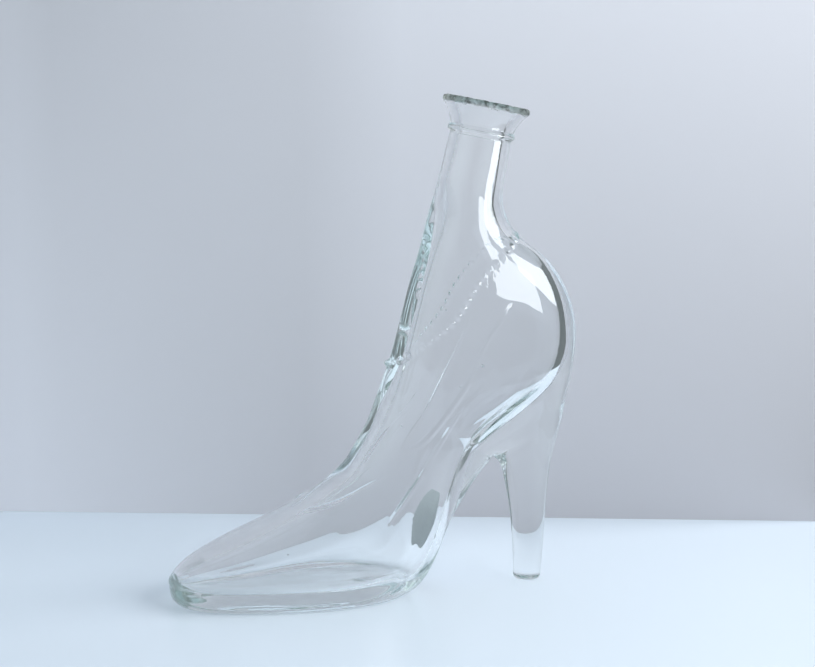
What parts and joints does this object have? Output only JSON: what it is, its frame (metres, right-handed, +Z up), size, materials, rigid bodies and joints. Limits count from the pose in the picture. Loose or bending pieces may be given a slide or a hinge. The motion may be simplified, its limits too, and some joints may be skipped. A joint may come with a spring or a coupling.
{
  "type": "shoe-shaped glass bottle",
  "caption": "Clear glass bottle shaped like a high-heeled pump, with a leaning neck, flared lip, bead trim round the topline, thick sole and solid heel.",
  "frame": {"origin": "on the floor under the middle of the bounding box, midway between toe tip and heel back", "axes": "+Z up, -X towards the toe, +X towards the back of the heel, Y across the shoe"},
  "size_m": [0.1912, 0.0644, 0.2281],
  "materials": {
    "clear_glass": "polished, faintly green where thick",
    "cut_glass": "rough cut edge with small chips",
    "label_paper": "matt grey, blank"
  },
  "bodies": {
    "root": {"lip": "cut_glass", "neck_ring": "clear_glass", "leg": "clear_glass", "vamp": "clear_glass", "quarters": "clear_glass", "sole": "clear_glass", "heel": "clear_glass", "bead_trim": "clear_glass", "oval_label": "label_paper"}
  },
  "joints": []
}
